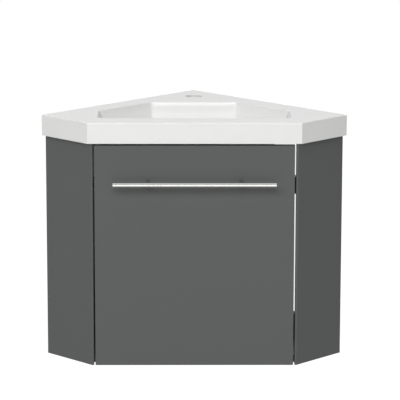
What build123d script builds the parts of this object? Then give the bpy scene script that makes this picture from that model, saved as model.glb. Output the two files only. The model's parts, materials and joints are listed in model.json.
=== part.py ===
from build123d import *
import os
from math import atan, cos, radians, sin, sqrt

os.makedirs("parts", exist_ok=True)

# A wall-hung vanity for a right-angled room corner: a cast basin on a five-sided
# cabinet with one flat door, hung on its left side, and a long bar handle.
# All sizes are in millimetres. The origin is the room's corner line, level with
# the underside of the cabinet. +X is to the right, -Y is towards the room, +Z is up.

# Basin
basin_leg = 450.0            # along each wall, from the corner
basin_side = 139.0           # side face, square to its wall
basin_edge = 43.5            # height of the visible rim
basin_round = 2.0            # all upper edges
basin_corner_round = 1.0     # all upright edges
bowl_wall_margin = 48.5      # deck left between a wall and the bowl
bowl_front_margin = 57.5     # deck left in front of the bowl
bowl_back = 160.0            # back edge of the bowl, square out from the corner
bowl_side_length = 89.4      # short edge at each end of the bowl
bowl_depth = 62.0
bowl_draw_in = 61.7          # how far the front and back come in down to the floor
bowl_lean = 20.0             # angle of the bowl's walls to the upright at the rim
bowl_diagonal_share = 0.8    # the walls beside the room's walls lean less
bowl_corner_round = 12.0
bowl_round_share = 0.65       # the most that a corner takes of the bowl's short edge
bowl_wall = 10.0             # thickness of the casting round the bowl
bowl_steps = 5               # sections that shape each wall
tap_hole_d = 35.0
tap_from_corner = 80.0
tap_pocket_d = 62.0          # room under the deck for the tap's nut
tap_deck = 23.5              # deck left above that pocket
drain_d = 46.0
drain_seat_d = 66.0
drain_seat_depth = 3.0
drain_boss_d = 74.0
drain_boss = 8.0             # below the underside of the bowl

# Cabinet
board = 16.0
cabinet_height = 472.0
side_overhang = 11.0         # the basin stands proud of the side panels by this
front_overhang = 8.8         # and of the door by this
tip_facet = 3.9              # narrow front face of each side panel
bottom_raise = 1.5           # underside of the bottom panel above the side panels'
edge_band = 1.0

# Rear boards
hanging_rail_height = 100.0
hanging_rail_gap = 4.0       # below the basin
rear_rail_down = 104.6       # upper edge of the upper rail, below the basin
rear_rail_height = 37.0
lower_rail_height = 50.0
wall_hole_d = 8.0
wall_hole_near = 110.0       # from the corner, along the wall
wall_hole_far = 330.0

# Door
door_thick = 16.0
door_gap = 2.9               # beside the door
door_top_gap = 5.3           # below the basin
door_stop_gap = 3.5          # between the door and the bottom panel's front edge

# Bar handle
rod_d = 10.0
rod_length = 336.0
rod_stand = 32.3             # from the door's face to the rod's axis
rod_from_top = 75.8          # below the door's upper edge
rod_bevel = 0.7
post_spacing = 192.0
post_d = 10.0
post_spigot_d = 5.0
post_spigot = 3.0
handle_screw_d = 4.0
handle_screw_grip = 10.0     # thread inside the post

# Cup hinges, each with one pin
hinge_from_end = 90.0        # from the door's upper and lower edges
pin_from_edge = 8.0
pin_d = 2.5
knuckle_d = 4.8
knuckle_half = 5.0
knuckle_play = 0.3           # at each end of the knuckle
cup_d = 35.0
cup_cover = 3.0              # board left in front of the cup
cup_from_edge = 3.0
cup_skin = 0.8
cup_flange = 1.2
cup_flange_width = 22.0
cup_flange_end = 5.5         # beyond each cup screw
cup_flange_round = 5.5
cup_ear = 6.4
cup_screw_spacing = 48.0
cup_screw_offset = 6.0
cup_screw_d = 3.0
cup_screw_length = 11.0
arm_sheet = 2.0
arm_half = 7.0
hook_clear = 1.1             # round the door's corner as it swings
arm_cheek = 1.2
arm_start = 21.4             # from the pin back to the arm's channel
arm_channel = 60.0
arm_lip = 4.0                # of the web beyond the channel
plate_base = 2.0
plate_half_height = 25.0
plate_setback = 53.4         # from the pin back to the plate's screws
plate_width = 16.0
rail_inset = 2.0             # of the plate's rail, inside the ends of the channel
plate_screw_spacing = 32.0
plate_screw_d = 5.0
plate_screw_length = 11.0
arm_screw_d = 5.0
arm_screw_grip = 7.0

# Joinery
dowel_d = 8.0
dowel_in_side = 12.0
dowel_in_board = 18.0
cam_d = 15.0
cam_deep = 12.5
cam_setback = 24.0
cam_bolt_d = 6.0
cam_thread_d = 5.0
cam_thread = 11.0
cam_slot = 1.2               # cross slot for the screwdriver
cam_slot_length = 9.0
cam_slot_depth = 2.4
bottom_dowel_near = 28.0     # from the wall, at each end of the bottom panel
bottom_dowel_far = 100.0
back_dowel_step = 130.0      # either side of the cam in the back panel
hanging_dowel_step = 30.0
rail_dowel_up = 9.0          # above the lower edge of a rail on the right
rail_cam_up = 26.0
stack_dowel_near = 120.0     # upright dowels, from the corner
stack_dowel_far = 300.0

# Heads of all screws, as shares of their shanks
head_spread = 2.0
head_rise = 0.6

# Basin brackets and stops
bracket_sheet = 2.0
bracket_leg = 26.0
bracket_width = 22.0
bracket_place = 60.0         # from the wall
bracket_screw_d = 4.5
bracket_screw_length = 13.0
stop_d = 9.0
stop_spacing = 300.0

# Clearances
glide = 0.05                 # round a pin, dowel, bolt or screw
seat = 0.5                   # at the bottom of a blind hole
bolt_play = 1.0              # in a hole that a bolt only passes through

# Worked out from the above
rim_z = cabinet_height + basin_edge
body_leg = basin_leg - side_overhang
inner_leg = body_leg - board
basin_front = -(basin_leg + basin_side) / sqrt(2)
door_front = basin_front + front_overhang
door_back = door_front + door_thick
body_corner = sqrt(2) * body_leg + door_front
relief_x = body_corner - tip_facet
door_half = relief_x - door_gap
door_height = cabinet_height - door_top_gap
bottom_top = bottom_raise + board
bottom_front = door_back + door_stop_gap
bowl_front = -basin_front - bowl_front_margin
bowl_half_width = bowl_front - bowl_side_length - sqrt(2) * bowl_wall_margin
drain_y = -(bowl_back + bowl_front) / 2
rail_mid = board / 2
hanging_rail_bottom = cabinet_height - hanging_rail_gap - hanging_rail_height
rear_rail_top = cabinet_height - rear_rail_down
cup_depth = door_thick - cup_cover
pin_from_face = cup_cover + cup_skin + knuckle_play + knuckle_d / 2
pin_x = -door_half + pin_from_edge
pin_y = door_front + pin_from_face
cup_x = -door_half + cup_from_edge + cup_d / 2
hinge_heights = (hinge_from_end, door_height - hinge_from_end)
rod_y = door_front - rod_stand
rod_height = door_height - rod_from_top
post_places = (-post_spacing / 2, post_spacing / 2)


def spot(side, along, out):
    """Point in plan, from a distance along a wall and one out from that wall."""
    return (side * (along - out) / sqrt(2), -(along + out) / sqrt(2))


def along_wall(side, along, out, height, sense=1):
    """Plane that faces along a wall, away from the corner, or towards it with sense -1."""
    x, y = spot(side, along, out)
    return Plane(origin=(x, y, height), z_dir=(sense * side, -sense, 0))


def off_wall(side, along, out, height, sense=1):
    """Plane that faces into the room, square to a wall, or into the wall with sense -1."""
    x, y = spot(side, along, out)
    return Plane(origin=(x, y, height), z_dir=(-sense * side, -sense, 0))


def upright(side, along, out, height, sense=1):
    """Level plane over a point given along and out from a wall."""
    x, y = spot(side, along, out)
    return Plane(origin=(x, y, height), x_dir=(1, 0, 0), z_dir=(0, 0, sense))


def drill(places, diameter, depth):
    """Round holes that start on the given planes, which face out of the board."""
    with Locations(*places):
        Hole(radius=diameter / 2, depth=depth)


def pegs(places, diameter, length):
    """Round pegs that stand on the given planes."""
    with Locations(*places):
        Cylinder(diameter / 2, length, align=(Align.CENTER, Align.CENTER, Align.MIN))


def panheads(places, diameter, length):
    """Screws with a flat-bottomed head that sits on the given planes."""
    head = (head_spread * diameter / 2, head_rise * diameter)
    with Locations(*places):
        Cylinder(diameter / 2, length, align=(Align.CENTER, Align.CENTER, Align.MAX))
        Cylinder(*head, align=(Align.CENTER, Align.CENTER, Align.MIN))


def wall_slab(side, near, far, inside, outside):
    """Plan of a board that stands on a wall, from near to far along it."""
    return [
        spot(side, near, inside),
        spot(side, far, inside),
        spot(side, far, outside),
        spot(side, near, outside),
    ]


def bowl_inset(depth):
    """How far the front and back of the bowl have come in at a depth below the rim."""
    lean = radians(bowl_lean)
    end_lean = 2 * atan(bowl_draw_in / bowl_depth) - lean
    sweep = bowl_depth / (sin(end_lean) - sin(lean))
    return sweep * (cos(lean) - sqrt(1 - (depth / sweep + sin(lean)) ** 2))


def bowl_round(diagonal_inset):
    """Radius of the bowl's corners, limited by the short edge at each end."""
    side_length = bowl_side_length - sqrt(2) * diagonal_inset
    return min(bowl_corner_round, bowl_round_share * side_length)


def bowl_outline(inset, diagonal_inset):
    """Six-sided plan of the bowl, drawn in from its rim by the given amounts."""
    half = bowl_half_width - inset
    back = -bowl_back - inset
    front = -bowl_front + inset
    reach = sqrt(2) * (bowl_wall_margin + diagonal_inset)
    shoulder = -half - reach
    back_half = -back - reach
    return [
        (back_half, back),
        (half, shoulder),
        (half, front),
        (-half, front),
        (-half, shoulder),
        (-back_half, back),
    ]


# Where the boards are joined to the side panels and to each other
bottom_mid = bottom_raise + board / 2
rail_low = rear_rail_top - rear_rail_height
hanging_mid = hanging_rail_bottom + hanging_rail_height / 2
back_mid = (bottom_top + hanging_rail_bottom) / 2

bottom_cam_out = (bottom_dowel_near + bottom_dowel_far) / 2
bottom_dowel_spots = [
    (side, out, bottom_mid) for side in (-1, 1) for out in (bottom_dowel_near, bottom_dowel_far)
]
bottom_cam_spots = [(side, bottom_cam_out, bottom_mid) for side in (-1, 1)]
back_dowel_spots = [(-1, rail_mid, back_mid + step) for step in (-back_dowel_step, back_dowel_step)]
back_cam_spots = [(-1, rail_mid, back_mid)]
hanging_dowel_spots = [
    (-1, rail_mid, hanging_mid + step) for step in (-hanging_dowel_step, hanging_dowel_step)
]
hanging_cam_spots = [(-1, rail_mid, hanging_mid)]
upper_dowel_spots = [(1, rail_mid, rail_low + rail_dowel_up)]
upper_cam_spots = [(1, rail_mid, rail_low + rail_cam_up)]
lower_dowel_spots = [(1, rail_mid, bottom_top + rail_dowel_up)]
lower_cam_spots = [(1, rail_mid, bottom_top + rail_cam_up)]
all_dowel_spots = (
    bottom_dowel_spots + back_dowel_spots + hanging_dowel_spots + upper_dowel_spots + lower_dowel_spots
)
all_cam_spots = bottom_cam_spots + back_cam_spots + hanging_cam_spots + upper_cam_spots + lower_cam_spots


def side_faces(spots, side, sense):
    """Planes on a side panel's inner face at the given places."""
    return [along_wall(s, inner_leg, out, z, sense) for s, out, z in spots if s == side]


def board_ends(spots):
    """Planes on the ends of the boards that meet the side panels."""
    return [along_wall(s, inner_leg, out, z) for s, out, z in spots]


# Right-hand rails meet the left-hand boards in the corner, with a dowel each
corner_upper = along_wall(1, board, rail_mid, rail_low + rear_rail_height / 2, -1)
corner_lower = along_wall(1, board, rail_mid, bottom_top + lower_rail_height / 2, -1)
corner_upper_in = along_wall(1, board, rail_mid, rail_low + rear_rail_height / 2)
corner_lower_in = along_wall(1, board, rail_mid, bottom_top + lower_rail_height / 2)

# Upright dowels between stacked boards
stack_steps = (stack_dowel_near, stack_dowel_far)
floor_left = [upright(-1, step, rail_mid, bottom_top) for step in stack_steps]
floor_right = [upright(1, step, rail_mid, bottom_top) for step in stack_steps]
shelf_left = [upright(-1, step, rail_mid, hanging_rail_bottom) for step in stack_steps]
floor_left_up = [upright(-1, step, rail_mid, bottom_top, -1) for step in stack_steps]
floor_right_up = [upright(1, step, rail_mid, bottom_top, -1) for step in stack_steps]
shelf_left_up = [upright(-1, step, rail_mid, hanging_rail_bottom, -1) for step in stack_steps]

# Hinge arms, hinge plates and basin brackets on the side panels
pin_along = -(pin_x + pin_y) / sqrt(2)
pin_out = (pin_x - pin_y) / sqrt(2)
arm_front = pin_out - arm_start
arm_rear = arm_front - arm_channel
arm_end = arm_rear - arm_lip
plate_mid = pin_out - plate_setback
plate_screw_heights = [
    z + step for z in hinge_heights for step in (-plate_screw_spacing / 2, plate_screw_spacing / 2)
]
bracket_screw_z = cabinet_height - bracket_leg / 2 - bracket_sheet / 2
bracket_screw_along = inner_leg - bracket_leg / 2 - bracket_sheet / 2


# Basin
drain_place = Plane((0, drain_y, rim_z - bowl_depth))
tap_place = Plane((0, -tap_from_corner, rim_z))
tap_nut_place = Plane((0, -tap_from_corner, cabinet_height), z_dir=(0, 0, -1))
with BuildPart() as basin:
    with BuildSketch(Plane.XY.offset(cabinet_height)):
        Polygon(
            (0, 0),
            spot(-1, basin_leg, 0),
            spot(-1, basin_leg, basin_side),
            spot(1, basin_leg, basin_side),
            spot(1, basin_leg, 0),
        )
    extrude(amount=basin_edge)
    fillet(edges().filter_by(Axis.Z), radius=basin_corner_round)
    outer_start = (basin_edge - bowl_wall) / 2
    for step in range(bowl_steps):
        depth = outer_start + (bowl_depth - outer_start) * step / (bowl_steps - 1)
        inset = bowl_inset(depth)
        with BuildSketch(Plane.XY.offset(rim_z - depth - bowl_wall)):
            diagonal_inset = bowl_diagonal_share * inset - bowl_wall
            Polygon(*bowl_outline(inset - bowl_wall, diagonal_inset))
            fillet(vertices(), radius=bowl_round(diagonal_inset))
    loft()
    with BuildSketch(Plane.XY.offset(rim_z - bowl_depth - bowl_wall - drain_boss)):
        with Locations((0, drain_y)):
            Circle(drain_boss_d / 2)
    extrude(amount=drain_boss + bowl_wall / 2)
    for step in range(bowl_steps):
        depth = bowl_depth * step / (bowl_steps - 1)
        inset = bowl_inset(depth)
        with BuildSketch(Plane.XY.offset(rim_z - depth)):
            diagonal_inset = bowl_diagonal_share * inset
            Polygon(*bowl_outline(inset, diagonal_inset))
            fillet(vertices(), radius=bowl_round(diagonal_inset))
    loft(mode=Mode.SUBTRACT)
    fillet(edges().group_by(Axis.Z)[-1], radius=basin_round)
    drill([drain_place], drain_seat_d, drain_seat_depth)
    drill([drain_place], drain_d, bowl_wall + drain_boss)
    drill([tap_place], tap_hole_d, basin_edge)
    fillet(
        edges().filter_by(GeomType.CIRCLE).group_by(Axis.Z)[-1].group_by(SortBy.RADIUS)[-1],
        radius=basin_round,
    )
    drill([tap_nut_place], tap_pocket_d, basin_edge - tap_deck)
    drill(
        [upright(side, bracket_screw_along, bracket_place, cabinet_height, -1) for side in (-1, 1)],
        bracket_screw_d + 2 * glide,
        bracket_screw_length + seat,
    )
basin.part.label = "basin"
export_step(basin.part, "parts/basin.step")


# Side panels, each with a narrow front face and a relief beside the door
def side_outline(side):
    """Plan of a side panel and of the band under it."""
    return [
        spot(side, body_leg, 0),
        spot(side, body_leg, -sqrt(2) * door_front - body_leg),
        (side * relief_x, door_front),
        spot(side, inner_leg, inner_leg - sqrt(2) * relief_x),
        spot(side, inner_leg, 0),
    ]


for side, name in ((-1, "side_panel_left"), (1, "side_panel_right")):
    with BuildPart() as side_panel:
        with BuildSketch(Plane.XY.offset(edge_band)):
            Polygon(*side_outline(side))
        extrude(amount=cabinet_height - edge_band)
        drill(side_faces(all_dowel_spots, side, -1), dowel_d + 2 * glide, dowel_in_side + seat)
        drill(side_faces(all_cam_spots, side, -1), cam_thread_d + 2 * glide, cam_thread + seat)
        drill(
            [along_wall(side, inner_leg, bracket_place, bracket_screw_z, -1)],
            bracket_screw_d + 2 * glide,
            bracket_screw_length + seat,
        )
        if side < 0:
            drill(
                [along_wall(side, inner_leg, plate_mid, z, -1) for z in plate_screw_heights],
                plate_screw_d + 2 * glide,
                plate_screw_length + seat,
            )
    side_panel.part.label = name
    export_step(side_panel.part, f"parts/{name}.step")

# Edge bands under the side panels
with BuildPart() as side_bands:
    for side in (-1, 1):
        with BuildSketch():
            Polygon(*side_outline(side))
        extrude(amount=edge_band)
side_bands.part.label = "side_panel_edge_bands"
export_step(side_bands.part, "parts/side_panel_edge_bands.step")

# Bottom panel and the band on its front edge
band_back = bottom_front + edge_band


def bottom_corner(side, y):
    """Where the line of a side panel's inner face reaches a distance from the corner."""
    return (side * (sqrt(2) * inner_leg + y), y)


with BuildPart() as bottom_panel:
    with BuildSketch(Plane.XY.offset(bottom_raise)):
        Polygon(
            (0, 0),
            spot(-1, inner_leg, 0),
            bottom_corner(-1, band_back),
            bottom_corner(1, band_back),
            spot(1, inner_leg, 0),
        )
    extrude(amount=board)
    drill(board_ends(bottom_dowel_spots), dowel_d + 2 * glide, dowel_in_board + seat)
    drill(board_ends(bottom_cam_spots), cam_bolt_d + bolt_play, cam_setback)
    drill(
        [upright(s, inner_leg - cam_setback, out, bottom_top) for s, out, z in bottom_cam_spots],
        cam_d + 2 * glide,
        cam_deep,
    )
    drill(floor_left + floor_right, dowel_d + 2 * glide, dowel_in_side + seat)
bottom_panel.part.label = "bottom_panel"
export_step(bottom_panel.part, "parts/bottom_panel.step")

with BuildPart() as bottom_band:
    with BuildSketch(Plane.XY.offset(bottom_raise)):
        Polygon(
            bottom_corner(-1, band_back),
            bottom_corner(-1, bottom_front),
            bottom_corner(1, bottom_front),
            bottom_corner(1, band_back),
        )
    extrude(amount=board)
bottom_band.part.label = "bottom_panel_edge_band"
export_step(bottom_band.part, "parts/bottom_panel_edge_band.step")


# Boards against the walls
with BuildPart() as back_panel:
    with BuildSketch(Plane.XY.offset(bottom_top)):
        Polygon(*wall_slab(-1, 0, inner_leg, 0, board))
    extrude(amount=hanging_rail_bottom - bottom_top)
    drill(board_ends(back_dowel_spots), dowel_d + 2 * glide, dowel_in_board + seat)
    drill(board_ends(back_cam_spots), cam_bolt_d + bolt_play, cam_setback)
    drill(
        [off_wall(-1, inner_leg - cam_setback, 0, z, -1) for s, out, z in back_cam_spots],
        cam_d + 2 * glide,
        cam_deep,
    )
    drill(floor_left_up + shelf_left, dowel_d + 2 * glide, dowel_in_board + seat)
    drill([corner_upper_in, corner_lower_in], dowel_d + 2 * glide, dowel_in_side + seat)
back_panel.part.label = "back_panel_left"
export_step(back_panel.part, "parts/back_panel_left.step")

with BuildPart() as hanging_rail:
    with BuildSketch(Plane.XY.offset(hanging_rail_bottom)):
        Polygon(*wall_slab(-1, 0, inner_leg, 0, board))
    extrude(amount=hanging_rail_height)
    drill(board_ends(hanging_dowel_spots), dowel_d + 2 * glide, dowel_in_board + seat)
    drill(board_ends(hanging_cam_spots), cam_bolt_d + bolt_play, cam_setback)
    drill(
        [off_wall(-1, inner_leg - cam_setback, 0, z, -1) for s, out, z in hanging_cam_spots],
        cam_d + 2 * glide,
        cam_deep,
    )
    drill(shelf_left_up, dowel_d + 2 * glide, dowel_in_side + seat)
    drill(
        [off_wall(-1, along, board, hanging_mid) for along in (wall_hole_near, wall_hole_far)],
        wall_hole_d,
        board,
    )
hanging_rail.part.label = "hanging_rail_left"
export_step(hanging_rail.part, "parts/hanging_rail_left.step")

with BuildPart() as rail_upper:
    with BuildSketch(Plane.XY.offset(rail_low)):
        Polygon(*wall_slab(1, board, inner_leg, 0, board))
    extrude(amount=rear_rail_height)
    drill(board_ends(upper_dowel_spots), dowel_d + 2 * glide, dowel_in_board + seat)
    drill(board_ends(upper_cam_spots), cam_bolt_d + bolt_play, cam_setback)
    drill(
        [off_wall(1, inner_leg - cam_setback, 0, z, -1) for s, out, z in upper_cam_spots],
        cam_d + 2 * glide,
        cam_deep,
    )
    drill([corner_upper], dowel_d + 2 * glide, dowel_in_board + seat)
    drill(
        [
            off_wall(1, along, board, rail_low + rear_rail_height / 2)
            for along in (wall_hole_near, wall_hole_far)
        ],
        wall_hole_d,
        board,
    )
rail_upper.part.label = "rear_rail_upper"
export_step(rail_upper.part, "parts/rear_rail_upper.step")

with BuildPart() as rail_lower:
    with BuildSketch(Plane.XY.offset(bottom_top)):
        Polygon(*wall_slab(1, board, inner_leg, 0, board))
    extrude(amount=lower_rail_height)
    drill(board_ends(lower_dowel_spots), dowel_d + 2 * glide, dowel_in_board + seat)
    drill(board_ends(lower_cam_spots), cam_bolt_d + bolt_play, cam_setback)
    drill(
        [off_wall(1, inner_leg - cam_setback, 0, z, -1) for s, out, z in lower_cam_spots],
        cam_d + 2 * glide,
        cam_deep,
    )
    drill([corner_lower] + floor_right_up, dowel_d + 2 * glide, dowel_in_board + seat)
rail_lower.part.label = "rear_rail_lower"
export_step(rail_lower.part, "parts/rear_rail_lower.step")


# Dowels: the longer half of each is in the end or edge of a board
dowel_length = dowel_in_side + dowel_in_board
with BuildPart() as dowels:
    pegs(
        [along_wall(s, inner_leg - dowel_in_board, out, z) for s, out, z in all_dowel_spots],
        dowel_d,
        dowel_length,
    )
    pegs(
        [place.offset(-dowel_in_board) for place in (corner_upper, corner_lower)],
        dowel_d,
        dowel_length,
    )
    pegs(
        [place.offset(-dowel_in_side) for place in floor_left + floor_right],
        dowel_d,
        dowel_length,
    )
    pegs([place.offset(-dowel_in_board) for place in shelf_left], dowel_d, dowel_length)
dowels.part.label = "dowels"
export_step(dowels.part, "parts/dowels.step")

# Cam connectors: housings let into the boards, bolts screwed into the side panels
cam_places = [upright(s, inner_leg - cam_setback, out, bottom_top) for s, out, z in bottom_cam_spots]
for spots in (back_cam_spots, hanging_cam_spots, upper_cam_spots, lower_cam_spots):
    cam_places += [off_wall(s, inner_leg - cam_setback, 0, z, -1) for s, out, z in spots]

with BuildPart() as cams:
    with Locations(*cam_places):
        Cylinder(cam_d / 2, cam_deep, align=(Align.CENTER, Align.CENTER, Align.MAX))
    drill(
        [along_wall(s, inner_leg, out, z) for s, out, z in all_cam_spots],
        cam_bolt_d + 2 * glide,
        cam_setback + seat,
    )
    with Locations(*cam_places):
        for across in ((cam_slot_length, cam_slot), (cam_slot, cam_slot_length)):
            Box(
                *across,
                cam_slot_depth,
                align=(Align.CENTER, Align.CENTER, Align.MAX),
                mode=Mode.SUBTRACT,
            )
cams.part.label = "cam_housings"
export_step(cams.part, "parts/cam_housings.step")

with BuildPart() as cam_bolts:
    pegs(
        [along_wall(s, inner_leg - cam_setback, out, z) for s, out, z in all_cam_spots],
        cam_bolt_d,
        cam_setback,
    )
    pegs([along_wall(s, inner_leg, out, z) for s, out, z in all_cam_spots], cam_thread_d, cam_thread)
cam_bolts.part.label = "cam_bolts"
export_step(cam_bolts.part, "parts/cam_bolts.step")


# Basin brackets: one leg on a side panel, one under the basin
with BuildPart() as brackets:
    for side in (-1, 1):
        near = bracket_place - bracket_width / 2
        far = bracket_place + bracket_width / 2
        with BuildSketch(Plane.XY.offset(cabinet_height - bracket_leg)):
            Polygon(*wall_slab(side, inner_leg - bracket_sheet, inner_leg, near, far))
        extrude(amount=bracket_leg)
        with BuildSketch(Plane.XY.offset(cabinet_height - bracket_sheet)):
            Polygon(*wall_slab(side, inner_leg - bracket_leg, inner_leg, near, far))
        extrude(amount=bracket_sheet)
        drill(
            [along_wall(side, inner_leg - bracket_sheet, bracket_place, bracket_screw_z, -1)],
            bracket_screw_d + 2 * glide,
            bracket_sheet,
        )
        drill(
            [upright(side, bracket_screw_along, bracket_place, cabinet_height - bracket_sheet, -1)],
            bracket_screw_d + 2 * glide,
            bracket_sheet,
        )
brackets.part.label = "basin_brackets"
export_step(brackets.part, "parts/basin_brackets.step")

bracket_seats = []
for side in (-1, 1):
    bracket_seats += [
        along_wall(side, inner_leg - bracket_sheet, bracket_place, bracket_screw_z, -1),
        upright(side, bracket_screw_along, bracket_place, cabinet_height - bracket_sheet, -1),
    ]
with BuildPart() as bracket_screws:
    panheads(
        bracket_seats,
        bracket_screw_d,
        bracket_sheet + bracket_screw_length,
    )
bracket_screws.part.label = "bracket_screws"
export_step(bracket_screws.part, "parts/bracket_screws.step")


# Door: a board with a band round its edges
cup_places = [Plane((cup_x, door_back, z), z_dir=(0, 1, 0)) for z in hinge_heights]
cup_screw_x = cup_x + cup_screw_offset
cup_screw_seats = [
    Plane(origin=(cup_screw_x, door_back + cup_flange, z + step), z_dir=(0, 1, 0))
    for z in hinge_heights
    for step in (-cup_screw_spacing / 2, cup_screw_spacing / 2)
]
handle_places = [Plane(origin=(x, door_back, rod_height), z_dir=(0, 1, 0)) for x in post_places]

with BuildPart() as door:
    with BuildSketch(Plane.XZ.offset(-door_back)):
        with Locations((0, door_height / 2)):
            Rectangle(2 * (door_half - edge_band), door_height - 2 * edge_band)
    extrude(amount=door_thick)
    drill(cup_places, cup_d, cup_depth)
    drill(
        [place.offset(-cup_flange) for place in cup_screw_seats],
        cup_screw_d + 2 * glide,
        cup_screw_length + seat,
    )
    drill(handle_places, handle_screw_d + bolt_play, door_thick)
door.part.label = "door_panel"
export_step(door.part, "parts/door_panel.step")

with BuildPart() as door_bands:
    with BuildSketch(Plane.XZ.offset(-door_back)):
        with Locations(*[(side * (door_half - edge_band / 2), door_height / 2) for side in (-1, 1)]):
            Rectangle(edge_band, door_height)
        with Locations((0, edge_band / 2), (0, door_height - edge_band / 2)):
            Rectangle(2 * (door_half - edge_band), edge_band)
    extrude(amount=door_thick)
door_bands.part.label = "door_edge_bands"
export_step(door_bands.part, "parts/door_edge_bands.step")

# Soft stops on the bottom panel's front edge
with BuildPart() as stops:
    pegs(
        [
            Plane(origin=(x, bottom_front, bottom_mid), z_dir=(0, -1, 0))
            for x in (-stop_spacing / 2, stop_spacing / 2)
        ],
        stop_d,
        door_stop_gap - glide,
    )
stops.part.label = "door_stops"
export_step(stops.part, "parts/door_stops.step")


# Bar handle
with BuildPart() as rod:
    with BuildSketch(Plane.YZ.offset(-rod_length / 2)):
        with Locations((rod_y, rod_height)):
            Circle(rod_d / 2)
    extrude(amount=rod_length)
    chamfer(edges().filter_by(GeomType.CIRCLE), length=rod_bevel)
    drill(
        [Plane(origin=(x, rod_y + rod_d / 2, rod_height), z_dir=(0, 1, 0)) for x in post_places],
        post_spigot_d + 2 * glide,
        post_spigot,
    )
rod.part.label = "handle_rod"
export_step(rod.part, "parts/handle_rod.step")

with BuildPart() as posts:
    pegs(
        [Plane(origin=(x, door_front, rod_height), z_dir=(0, -1, 0)) for x in post_places],
        post_d,
        rod_stand,
    )
    with BuildSketch(Plane.YZ.offset(-rod_length / 2)):
        with Locations((rod_y, rod_height)):
            Circle(rod_d / 2 + glide)
    extrude(amount=rod_length, mode=Mode.SUBTRACT)
    pegs(
        [Plane(origin=(x, door_front, rod_height), z_dir=(0, -1, 0)) for x in post_places],
        post_spigot_d,
        rod_stand - rod_d / 2 + post_spigot,
    )
    drill(
        [Plane(origin=(x, door_front, rod_height), z_dir=(0, 1, 0)) for x in post_places],
        handle_screw_d + 2 * glide,
        handle_screw_grip + seat,
    )
posts.part.label = "handle_posts"
export_step(posts.part, "parts/handle_posts.step")

with BuildPart() as handle_screws:
    panheads(handle_places, handle_screw_d, door_thick + handle_screw_grip)
handle_screws.part.label = "handle_screws"
export_step(handle_screws.part, "parts/handle_screws.step")


# Hinge cups: a drawn shell with a flange, and two ears that hold the pin
cup_outer = cup_d / 2 - glide
cup_inner = cup_outer - cup_skin
cup_floor = door_back - cup_depth + cup_skin
pin_half = sqrt(cup_inner**2 - (cup_x - pin_x) ** 2) - seat
with BuildPart() as cups:
    for z in hinge_heights:
        with BuildSketch(Plane.XZ.offset(-(door_back - cup_depth))):
            with Locations((cup_x, z)):
                Circle(cup_outer)
        extrude(amount=-cup_depth)
        with BuildSketch(Plane.XZ.offset(-door_back)):
            with Locations((cup_x + cup_screw_offset / 2, z)):
                RectangleRounded(
                    cup_flange_width, cup_screw_spacing + 2 * cup_flange_end, cup_flange_round
                )
            with Locations((cup_x, z)):
                Circle(cup_outer + cup_flange)
        extrude(amount=-cup_flange)
        with BuildSketch(Plane.XZ.offset(-cup_floor)):
            with Locations((cup_x, z)):
                Circle(cup_inner)
            with Locations((pin_x, z)):
                Rectangle(cup_ear, 2 * cup_inner, mode=Mode.SUBTRACT)
            with Locations((cup_x, z)):
                Rectangle(2 * cup_inner, 2 * (knuckle_half + knuckle_play))
                Circle(cup_inner, mode=Mode.INTERSECT)
        extrude(amount=-(cup_depth + cup_flange), mode=Mode.SUBTRACT)
    drill(
        [Plane(origin=(pin_x, pin_y, z + pin_half)) for z in hinge_heights],
        pin_d + 2 * glide,
        2 * pin_half,
    )
    drill(cup_screw_seats, cup_screw_d + 2 * glide, cup_flange)
cups.part.label = "hinge_cups"
export_step(cups.part, "parts/hinge_cups.step")

with BuildPart() as cup_screws:
    panheads(cup_screw_seats, cup_screw_d, cup_flange + cup_screw_length)
cup_screws.part.label = "hinge_cup_screws"
export_step(cup_screws.part, "parts/hinge_cup_screws.step")

with BuildPart() as pins:
    pegs([Plane(origin=(pin_x, pin_y, z - pin_half)) for z in hinge_heights], pin_d, 2 * pin_half)
pins.part.label = "hinge_pins"
export_step(pins.part, "parts/hinge_pins.step")

# Hinge arms: a knuckle on the pin, a hook round the door's corner, and a channel
# that lies along the side panel. Distances are along and out from the left wall.
door_corner = sqrt(pin_from_edge**2 + (door_thick - pin_from_face) ** 2)
hook_inner = door_corner + hook_clear
web_near = pin_along - hook_inner - arm_sheet
web_far = pin_along - hook_inner
hook_reach = 2 * hook_inner
with BuildPart() as arms:
    for z in hinge_heights:
        with BuildSketch(Plane.XY.offset(z - knuckle_half)):
            with Locations((pin_x, pin_y)):
                Circle(hook_inner + arm_sheet)
                Circle(hook_inner, mode=Mode.SUBTRACT)
            Polygon(
                (pin_x, pin_y),
                (pin_x + hook_reach, pin_y),
                (pin_x + hook_reach, pin_y + hook_reach),
                mode=Mode.INTERSECT,
            )
            with Locations((pin_x, pin_y)):
                Rectangle(hook_inner + arm_sheet, arm_sheet, align=(Align.MIN, Align.CENTER))
            Polygon(*wall_slab(-1, web_near, web_far, arm_front, pin_out))
            with Locations((pin_x, pin_y)):
                Circle(knuckle_d / 2)
                Circle(pin_d / 2 + glide, mode=Mode.SUBTRACT)
        extrude(amount=2 * knuckle_half)
        with BuildSketch(Plane.XY.offset(z - arm_half)):
            Polygon(*wall_slab(-1, web_near, web_far, arm_end, arm_front))
        extrude(amount=2 * arm_half)
        for start in (z - arm_half, z + arm_half - arm_cheek):
            with BuildSketch(Plane.XY.offset(start)):
                cheek_far = inner_leg - plate_base - seat
                Polygon(*wall_slab(-1, web_near, cheek_far, arm_rear, arm_front))
            extrude(amount=arm_cheek)
    drill(
        [along_wall(-1, web_near, plate_mid, z, -1) for z in hinge_heights],
        arm_screw_d + 2 * glide,
        arm_sheet,
    )
arms.part.label = "hinge_arms"
export_step(arms.part, "parts/hinge_arms.step")

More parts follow.
